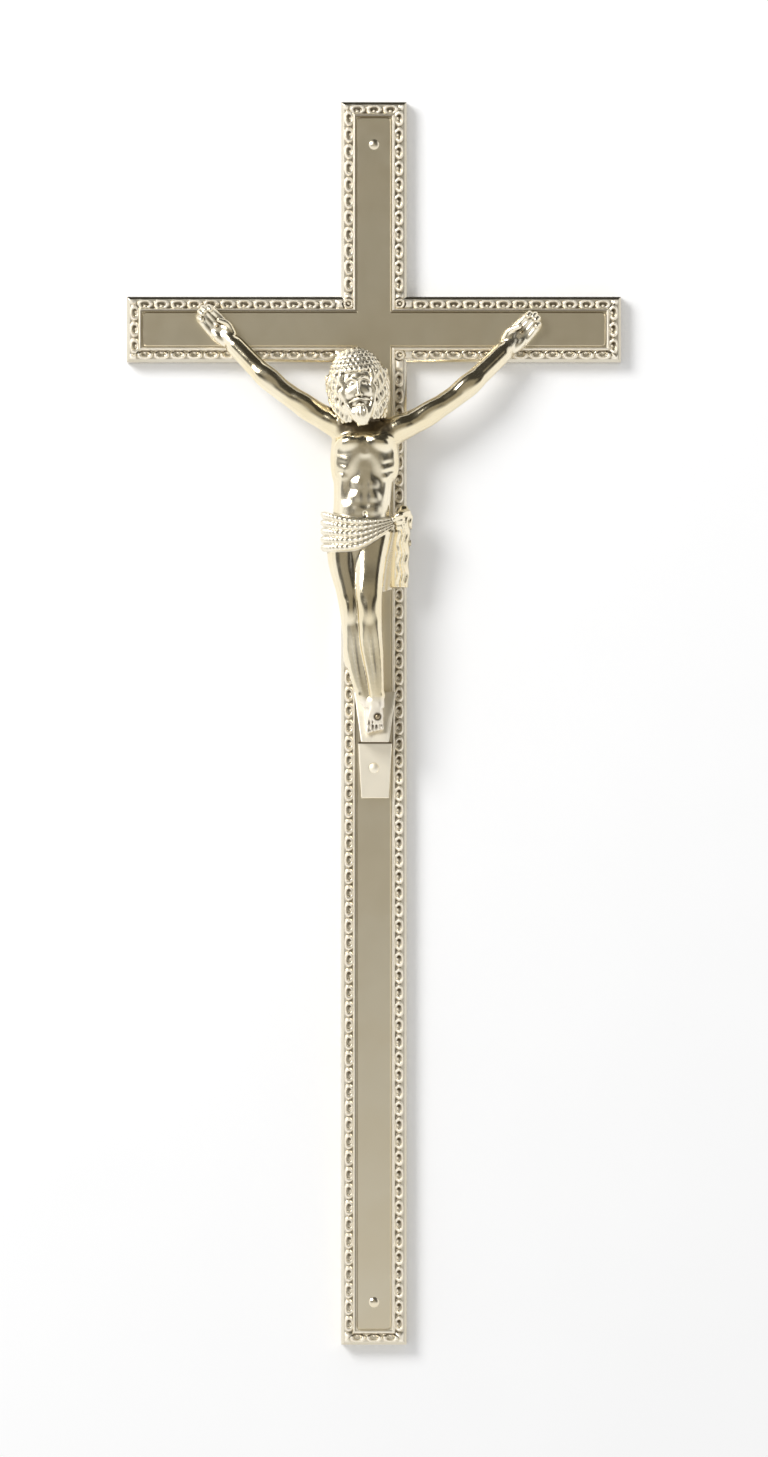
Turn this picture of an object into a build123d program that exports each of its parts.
"""A wall and lid crucifix: a hollow moulded cross with a beaded border, a bright inlaid face panel,
a separately moulded figure nailed to it at the palms and feet, a foot rest, and three fixing pins.

Frame: millimetres, +Z up, the front faces -Y, and the back rim lies in the plane y = 0.
The origin is the centre of the crossing, on the back rim's plane.
A "depth" is a distance forward of the back rim, and a "rise" is one forward of the panel's face.
"""

import os
from math import asin, atan2, cos, degrees, pi, radians, sin, sqrt, tan

from build123d import *

# Cross, overall
upright_length = 355.0
crossbar_length = 141.2
bar_width = 18.8
crossing_to_top = 65.0

# Cross shell, a hollow moulding
band_depth = 5.2
side_draft = 0.1
edge_bevel = 0.75
wall = 1.6
web = 1.8
rib_thickness = 1.2
rib_pitch = 23.0
boss_wall = 1.4

# Border of the shell: a row of beads rounded off on their outer side, and a thin rim round the panel
border_width = 4.26
rim_width = 0.8
rim_height = 0.45
bead_pitch = 4.73
bead_gap = 0.7
bead_height = 1.15
bead_inset = 0.2
bead_bevel = 0.6
bead_corner = 0.95

# Face panel, let into the shell
panel_thickness = 1.0
panel_proud = 0.75
panel_gap = 0.2
panel_corner = 1.3
panel_bevel = 0.35

# Fixing pins, driven through the cross
pin_from_end = 12.3
pin_head_radius = 1.55
pin_head_height = 0.55
pin_head_steps = 1
pin_collar_radius = 1.0
pin_shank_radius = 0.8
pin_free_length = 8.0
pin_point = 2.2
pin_tip_radius = 0.15
pin_fit = 0.02
pin_bed = 0.05

# Nails that hold the figure
nail_head_radius = 0.8
nail_head_height = 0.45
nail_shank_radius = 0.45
nail_bite = 2.8
nail_sink = 0.3
nail_fit = 0.02
nail_end_gap = 0.3
feet_nail_side = 1.0
feet_nail_below_ankle = 5.6

# Foot rest: a block under the feet, narrow where it meets the panel, and a tapered tail below it
rest_above_ankle = 1.5
rest_length = 14.3
rest_side = 0.3
rest_top_width = 11.9
rest_bottom_width = 7.9
rest_top_rise = 5.6
rest_bottom_rise = 9.4
rest_seat_width = 7.4
rest_border_gap = 0.6
tail_length = 16.0
tail_top_width = 9.7
tail_bottom_width = 7.9
tail_top_rise = 2.4
tail_bottom_rise = 1.3
tail_pin_below_rest = 7.4

# Figure: stations down the body, each (side, rise, height, half width, half depth)
oval_sides = 10
torso = [
    (-4.6, 7.3, -65.0, 7.8, 4.7),
    (-4.4, 7.1, -57.0, 8.9, 5.4),
    (-3.2, 6.7, -49.0, 7.9, 4.6),
    (-3.0, 7.0, -41.0, 8.6, 5.4),
    (-2.7, 7.1, -34.0, 9.3, 5.8),
    (-2.4, 6.5, -30.0, 9.2, 5.0),
    (-2.2, 5.8, -24.6, 5.8, 3.0),
]
hair = [
    (-3.7, 9.2, -27.0, 6.4, 3.4),
    (-3.9, 9.2, -23.0, 8.7, 5.4),
    (-4.3, 9.8, -19.0, 8.7, 6.4),
    (-4.9, 10.4, -14.4, 8.3, 7.1),
    (-5.8, 10.2, -10.1, 6.4, 6.4),
    (-6.2, 9.8, -7.3, 3.5, 4.4),
    (-6.2, 9.6, -5.9, 1.3, 2.0),
]
face = [
    (-3.2, 12.4, -28.2, 1.2, 1.2),
    (-3.4, 13.2, -24.5, 3.3, 2.7),
    (-4.0, 13.6, -17.0, 4.7, 3.6),
    (-4.8, 12.8, -10.0, 4.2, 3.6),
    (-5.2, 12.0, -7.8, 2.6, 2.6),
]
nose = [
    (-4.5, 16.0, -13.2, 0.5, 0.7),
    (-4.1, 17.1, -17.4, 1.0, 1.1),
    (-4.0, 16.6, -18.6, 0.7, 0.5),
]
left_leg = [
    (-8.6, 7.4, -58.0, 5.0, 4.8),
    (-8.6, 8.2, -67.0, 4.2, 4.3),
    (-6.7, 9.3, -75.5, 3.3, 3.5),
    (-5.9, 9.8, -83.0, 2.7, 2.9),
    (-5.3, 9.3, -90.0, 2.8, 2.9),
    (-4.0, 8.5, -98.0, 2.4, 2.4),
    (-2.1, 7.8, -105.0, 2.0, 1.9),
]
right_leg = [
    (-0.5, 7.6, -58.0, 5.0, 4.9),
    (-1.3, 9.0, -67.0, 4.1, 4.4),
    (-1.7, 10.5, -75.5, 3.8, 3.8),
    (-1.4, 11.0, -83.0, 3.4, 3.1),
    (-0.8, 10.5, -90.0, 3.4, 3.0),
    (0.2, 9.5, -98.0, 2.6, 2.6),
    (0.9, 8.5, -105.0, 2.1, 2.1),
]

# Crossed feet, laid on the foot rest: stations, each (side, drop below the ankles, half width, half depth)
feet = [
    (0.2, -1.5, 3.6, 2.4),
    (0.4, 3.5, 3.0, 2.2),
    (0.5, 8.0, 2.8, 1.9),
    (0.5, 10.4, 2.2, 1.5),
]
feet_bed = 0.45

# Arms: stations from inside the shoulder to the wrist, each (side, rise, height, radius)
left_arm = [
    (-6.5, 6.6, -29.6, 4.3),
    (-12.4, 6.6, -26.6, 3.6),
    (-19.6, 6.2, -22.2, 2.95),
    (-27.6, 5.4, -16.6, 2.45),
    (-33.2, 4.3, -11.4, 2.35),
    (-39.4, 2.8, -5.0, 2.1),
]
right_arm = [
    (2.8, 6.6, -30.6, 4.3),
    (8.8, 6.6, -28.0, 3.6),
    (15.8, 6.2, -24.2, 2.95),
    (24.2, 5.4, -18.6, 2.45),
    (30.2, 4.3, -13.2, 2.35),
    (36.6, 2.8, -7.0, 2.1),
]

# Hands: stations from the wrist to the finger tips, each (side, rise, height, half breadth, half thickness)
left_hand = [
    (-38.6, 2.8, -5.8, 2.1, 1.9),
    (-43.0, 1.5, -1.2, 2.9, 1.9),
    (-46.2, 1.3, 2.2, 2.9, 1.7),
    (-49.6, 2.2, 5.8, 1.7, 1.1),
]
right_hand = [
    (35.9, 2.8, -7.7, 2.1, 1.9),
    (40.4, 1.5, -3.0, 2.9, 1.9),
    (43.8, 1.3, 0.6, 2.9, 1.7),
    (47.4, 2.2, 4.6, 1.7, 1.1),
]

# Loincloth: a wrap whose folds fan out from the knot on the figure's left hip
cloth_centre = -4.6
cloth_rise = 7.9
cloth_half_width = 9.9
cloth_half_depth = 6.4
cloth_fold = 0.6
cloth_tuck = 0.9
cloth_folds = 4
cloth_pivot_side = 6.0
cloth_top_pivot = -55.2
cloth_bottom_pivot = -58.4
cloth_top_angle = -9.0
cloth_bottom_angle = 19.0
knot = [
    (8.4, 7.0, -50.4, 1.0, 1.0),
    (8.5, 7.0, -53.4, 2.6, 2.8),
    (8.0, 6.9, -57.6, 2.8, 2.8),
    (7.5, 5.8, -65.0, 2.8, 2.2),
    (7.2, 4.6, -74.6, 2.4, 1.5),
]

# Derived places
panel_seat = band_depth + panel_proud - panel_thickness
panel_face = panel_seat + panel_thickness
cavity_depth = min(band_depth - web, panel_seat - web)
rim_crest = band_depth + rim_height
crossing_to_bottom = upright_length - crossing_to_top
half_crossbar = crossbar_length / 2
half_bar = bar_width / 2
panel_inset = border_width + panel_gap
band_inset = side_draft + edge_bevel
ankle_height = left_leg[-1][2]
rest_top = ankle_height + rest_above_ankle
rest_bottom = rest_top - rest_length
bead_crest = band_depth + bead_height
bead_breadth = border_width - band_inset - rim_width - 2 * bead_inset
nail_end = panel_seat - nail_bite
nail_boss_end = max(0.0, nail_end - nail_end_gap - boss_wall / 2)
feet_nail_height = ankle_height - feet_nail_below_ankle
top_pin_height = crossing_to_top - pin_from_end
bottom_pin_height = pin_from_end - crossing_to_bottom
foot_pin_height = rest_bottom - tail_pin_below_rest
pin_heights = (top_pin_height, foot_pin_height, bottom_pin_height)


def at_depth(depth):
    return Plane.XZ.offset(depth)


def cross_corners(inset):
    half = half_bar - inset
    side = half_crossbar - inset
    top = crossing_to_top - inset
    bottom = inset - crossing_to_bottom
    return [
        (-half, top), (half, top), (half, half), (side, half), (side, -half), (half, -half),
        (half, bottom), (-half, bottom), (-half, -half), (-side, -half), (-side, half), (-half, half),
    ]


def cross_face(inset, depth, corner=0.0):
    outline = make_face(Polyline(*cross_corners(inset), close=True))
    if corner:
        reach = half_bar - inset + 0.01
        ends = [v for v in outline.vertices() if abs(v.X) > reach or abs(v.Y) > reach]
        outline = fillet(ends, corner)
    return at_depth(depth) * outline


def cross_slab(inset, near, far, corner=0.0):
    return extrude(cross_face(inset, near, corner), far - near)


def rod(side, height, radius, near, far):
    return extrude(at_depth(near) * Pos(side, height) * Circle(radius), far - near)


def tapered_cross(near, near_inset, far, far_inset):
    return loft([cross_face(near_inset, near), cross_face(far_inset, far)], ruled=True)


def share_between(value, start, end, first, last):
    return first + (last - first) * (value - start) / (end - start)


def rest_front(height):
    # Rise of the foot block's sloping front at a height
    return share_between(height, rest_top, rest_bottom, rest_top_rise, rest_bottom_rise)


def tail_front(height):
    return share_between(height, rest_bottom, rest_bottom - tail_length, tail_top_rise, tail_bottom_rise)


# Cross shell

def bead():
    # One bead of the row, lying along X on the plane z = 0, drawn in to a smaller crown
    # Its -Y side faces the panel, and the corners of its outer side are cut off
    half = (bead_pitch - bead_gap) / 2
    inner = -bead_breadth / 2
    outer = bead_breadth / 2
    outline = Polyline(
        (-half, inner), (half, inner), (half, outer - bead_corner), (half - bead_corner, outer),
        (bead_corner - half, outer), (-half, outer - bead_corner), close=True,
    )
    return extrude(make_face(outline), bead_height, taper=degrees(atan2(bead_bevel, bead_height)))


def bead_runs():
    # Runs of the border's centre line from corner to corner, stopped where the edge turns at inner corners
    middle = band_inset + bead_inset + bead_breadth / 2
    corners = [Vector(x, z) for x, z in cross_corners(middle)]
    runs = []
    for start, end in zip(corners, corners[1:] + corners[:1]):
        along = (end - start).normalized()
        if max(abs(start.X), abs(start.Y)) < half_bar:
            start += along * (middle + band_inset)
        if max(abs(end.X), abs(end.Y)) < half_bar:
            end -= along * (middle + band_inset)
        runs.append((start, end))
    return runs


def bead_rows():
    unit = bead()
    beads = []
    for start, end in bead_runs():
        run = end - start
        count = int(run.length / bead_pitch)
        turn = degrees(atan2(run.Y, run.X))
        for i in range(count):
            spot = (start + end) * 0.5 + run.normalized() * ((i - (count - 1) / 2) * bead_pitch)
            beads.append(at_depth(band_depth) * Pos(spot.X, spot.Y) * Rot(Z=turn) * unit)
    return beads


def ribs():
    # Cross ribs flush with the back rim, spread evenly along each arm, and a plus at the crossing
    inner = half_bar - wall
    bars = [
        Box(2 * inner + wall, cavity_depth, rib_thickness),
        Box(rib_thickness, cavity_depth, 2 * inner + wall),
    ]
    arms = [
        (crossing_to_top, 0, 1), (crossing_to_bottom, 0, -1), (half_crossbar, 1, 0), (half_crossbar, -1, 0),
    ]
    for reach, side, up in arms:
        free = reach - half_bar
        count = max(1, int(free // rib_pitch))
        for i in range(count):
            along = half_bar + free * i / count
            size = (2 * inner + wall, rib_thickness) if up else (rib_thickness, 2 * inner + wall)
            bars.append(Pos(side * along, 0, up * along) * Box(size[0], cavity_depth, size[1]))
    return [Pos(0, -cavity_depth / 2, 0) * bar for bar in bars]


def palm_spots():
    # Where each palm's nail goes in: between the palm's and the knuckles' stations
    spots = []
    for hand in (left_hand, right_hand):
        spots.append(((hand[1][0] + hand[2][0]) / 2, (hand[1][2] + hand[2][2]) / 2))
    return spots


def cross_shell():
    bevel_foot = band_depth - edge_bevel
    shell = tapered_cross(0, 0, bevel_foot, side_draft)
    shell += tapered_cross(bevel_foot, side_draft, band_depth, band_inset)
    shell -= tapered_cross(0, wall, cavity_depth, wall + side_draft)
    rim = cross_slab(border_width - rim_width, band_depth, rim_crest)
    shell = shell + ribs() + bead_rows() + rim
    shell += [rod(0, z, pin_collar_radius + boss_wall, 0, cavity_depth) for z in pin_heights]
    shell += [rod(x, z, nail_shank_radius + boss_wall, nail_boss_end, cavity_depth) for x, z in palm_spots()]
    shell -= cross_slab(border_width, panel_seat, rim_crest + 1, panel_corner + panel_gap)
    shell -= [rod(0, z, pin_collar_radius + pin_fit, -1, rim_crest) for z in pin_heights]
    nail_hole = nail_shank_radius + nail_fit
    return shell - [rod(x, z, nail_hole, nail_end - nail_end_gap, rim_crest) for x, z in palm_spots()]


# Face panel

def face_panel():
    panel = cross_slab(panel_inset, panel_seat, panel_face, panel_corner)
    panel = chamfer(panel.faces().sort_by(Axis.Y)[0].edges(), panel_bevel)
    pin_hole = pin_collar_radius + pin_fit
    panel -= [rod(0, z, pin_hole, panel_seat - 1, panel_face + 1) for z in pin_heights]
    nail_hole = nail_shank_radius + nail_fit
    return panel - [rod(x, z, nail_hole, panel_seat - 1, panel_face + 1) for x, z in palm_spots()]


# Figure

def place(side, rise, height):
    return Vector(side, -(panel_face + rise), height)


def oval(half_width, half_depth):
    # A many-sided oval as large as the round one: smooth along the limb, with few faces round it
    grow = sqrt(2 * pi / (oval_sides * sin(2 * pi / oval_sides)))
    turns = [2 * pi * (i + 0.5) / oval_sides for i in range(oval_sides)]
    points = [(grow * half_width * cos(t), grow * half_depth * sin(t)) for t in turns]
    return make_face(Polyline(*points, close=True))


def body_loft(stations, straight=False):
    rings = []
    for side, rise, height, half_width, half_depth in stations:
        rings.append(Pos(*place(side, rise, height)) * oval(half_width, half_depth))
    return loft(rings, ruled=straight)


def limb_loft(stations):
    # Sections square to the limb's own line, each flat face turned with its breadth in the panel's plane
    points = [place(*s[:3]) for s in stations]
    rings = []
    for i, station in enumerate(stations):
        ahead = points[min(i + 1, len(points) - 1)]
        behind = points[max(i - 1, 0)]
        along = (ahead - behind).normalized()
        breadth = along.cross(Vector(0, 1, 0)).normalized()
        half_breadth = station[3]
        half_thickness = station[4] if len(station) > 4 else station[3]
        plane = Plane(origin=points[i], x_dir=breadth, z_dir=along)
        rings.append(plane * oval(half_breadth, half_thickness))
    return loft(rings)


def loincloth():
    # Rings in planes that fan about the knot, alternating between a fold's crest and the groove beside it
    steps = 2 * cloth_folds
    rings = []
    for i in range(steps + 1):
        share = i / steps
        angle = cloth_top_angle + share * (cloth_bottom_angle - cloth_top_angle)
        pivot = cloth_top_pivot + share * (cloth_bottom_pivot - cloth_top_pivot)
        swell = cloth_fold if i % 2 else 0.0
        if i in (0, steps):
            swell = -cloth_tuck
        run = cloth_centre - cloth_pivot_side
        centre = place(cloth_centre, cloth_rise, pivot + run * tan(radians(angle)))
        tilted = Pos(*centre) * Rot(Y=-angle)
        rings.append(tilted * oval(cloth_half_width + swell, cloth_half_depth + swell))
    return loft(rings, ruled=True)


def feet_stations():
    stations = []
    for side, drop, half_width, half_depth in feet:
        height = ankle_height - drop
        stations.append((side, rest_front(height) + half_depth - feet_bed, height, half_width, half_depth))
    return stations


def palm_seat(hand):
    # Depth of the flat that a palm nail's head beds on
    surface = (hand[1][1] + hand[1][4] + hand[2][1] + hand[2][4]) / 2
    return panel_face + surface - nail_sink


def feet_seat():
    # Depth of the flat that the feet nail's head beds on, over the two middle stations of the feet
    crowns = [rise + half_depth for _, rise, _, _, half_depth in feet_stations()[1:3]]
    return panel_face + max(crowns) - nail_sink


def corpus():
    figure = body_loft(torso)
    figure = figure.fuse(
        body_loft(hair), body_loft(face), body_loft(nose, straight=True), limb_loft(left_arm),
        limb_loft(right_arm), limb_loft(left_hand), limb_loft(right_hand), body_loft(left_leg),
        body_loft(right_leg), body_loft(feet_stations()), loincloth(), body_loft(knot),
    )
    figure -= extrude(at_depth(0) * Rectangle(crossbar_length, upright_length), panel_face)
    figure -= foot_block()
    for (x, z), hand in zip(palm_spots(), (left_hand, right_hand)):
        figure -= nail_bore(x, z, palm_seat(hand))
    figure -= nail_bore(feet_nail_side, feet_nail_height, feet_seat())
    return figure


# Foot rest

def tapered_block(top, bottom, top_width, bottom_width, near, top_rise, bottom_rise):
    # Where a front outline and a side outline, both drawn through, meet
    back = panel_face + near
    front = Polyline(
        (rest_side - top_width / 2, top), (rest_side + top_width / 2, top),
        (rest_side + bottom_width / 2, bottom), (rest_side - bottom_width / 2, bottom), close=True,
    )
    side = Polyline(
        (-back, top), (-back, bottom), (-panel_face - bottom_rise, bottom), (-panel_face - top_rise, top),
        close=True,
    )
    through = extrude(at_depth(back) * make_face(front), max(top_rise, bottom_rise) - near)
    return through & extrude(Plane.YZ * make_face(side), top_width + bottom_width, both=True)


def foot_block():
    clear = max(0.0, bead_crest - panel_face) + rest_border_gap
    block = tapered_block(rest_top, rest_bottom, rest_top_width, rest_bottom_width, clear, rest_top_rise,
                          rest_bottom_rise)
    return block + tapered_block(rest_top, rest_bottom, rest_seat_width, rest_seat_width, 0, clear, clear)


def suppedaneum():
    tail = tapered_block(rest_bottom, rest_bottom - tail_length, tail_top_width, tail_bottom_width, 0,
                         tail_top_rise, tail_bottom_rise)
    rest = foot_block() + tail
    before_tail = panel_face + 2 * tail_top_rise
    rest -= rod(0, foot_pin_height, pin_collar_radius + pin_fit, panel_face - 1, before_tail)
    rest -= rod(0, foot_pin_height, pin_head_radius + pin_fit, foot_pin_seat(), before_tail)
    end = feet_nail_end() - nail_end_gap
    return rest - rod(feet_nail_side, feet_nail_height, nail_shank_radius + nail_fit, end, feet_seat())


def foot_pin_seat():
    # The head's bed is cut level just under the lowest part of the tail's sloping front that the head covers
    return panel_face + tail_front(foot_pin_height - pin_head_radius) - pin_bed


# Nails and fixing pins

def turned(side, height, outline):
    # A round pin along Y from a half outline of (radius, depth) points
    solid = revolve(make_face(outline), Axis.Y)
    return Plane(origin=(side, 0, height), x_dir=(1, 0, 0), z_dir=(0, 0, -1)) * solid


def fixing_pin(height, seat):
    # The head is a cap of a ball, turned in a few straight steps
    ball = (pin_head_radius**2 + pin_head_height**2) / (2 * pin_head_height)
    crown = seat + pin_head_height
    foot_angle = asin(pin_head_radius / ball)
    angles = [foot_angle * (1 - i / (pin_head_steps + 0.5)) for i in range(pin_head_steps + 1)]
    cap = [(ball * sin(a), crown - ball + ball * cos(a)) for a in angles]
    tip = -pin_free_length - pin_point
    outline = Polyline(
        (0, cap[-1][1]), (0, tip), (pin_tip_radius, tip), (pin_shank_radius, -pin_free_length),
        (pin_shank_radius, 0), (pin_collar_radius, 0), (pin_collar_radius, seat), *cap, close=True,
    )
    return turned(0, height, outline)


def nail(side, height, seat, end):
    head = rod(side, height, nail_head_radius, seat, seat + nail_head_height)
    return head + rod(side, height, nail_shank_radius, end, seat)


def nail_bore(side, height, seat):
    hole = rod(side, height, nail_shank_radius + nail_fit, 0, seat)
    return hole + rod(side, height, nail_head_radius + nail_fit, seat, seat + 5 * nail_head_height)


def feet_nail_end():
    return panel_face + rest_front(feet_nail_height) - nail_bite


def palm_nail(which):
    hand = (left_hand, right_hand)[which]
    side, height = palm_spots()[which]
    return nail(side, height, palm_seat(hand), nail_end)


def main():
    nodes = {
        "cross_shell": cross_shell(),
        "face_panel": face_panel(),
        "corpus": corpus(),
        "suppedaneum": suppedaneum(),
        "left_palm_nail": palm_nail(0),
        "right_palm_nail": palm_nail(1),
        "feet_nail": nail(feet_nail_side, feet_nail_height, feet_seat(), feet_nail_end()),
        "top_pin": fixing_pin(top_pin_height, panel_face),
        "foot_pin": fixing_pin(foot_pin_height, foot_pin_seat()),
        "bottom_pin": fixing_pin(bottom_pin_height, panel_face),
    }
    os.makedirs("parts", exist_ok=True)
    for name, shape in nodes.items():
        print(name, len(shape.solids()), round(shape.volume, 2), shape.is_valid)
        export_step(shape.solid(), f"parts/{name}.step")


main()
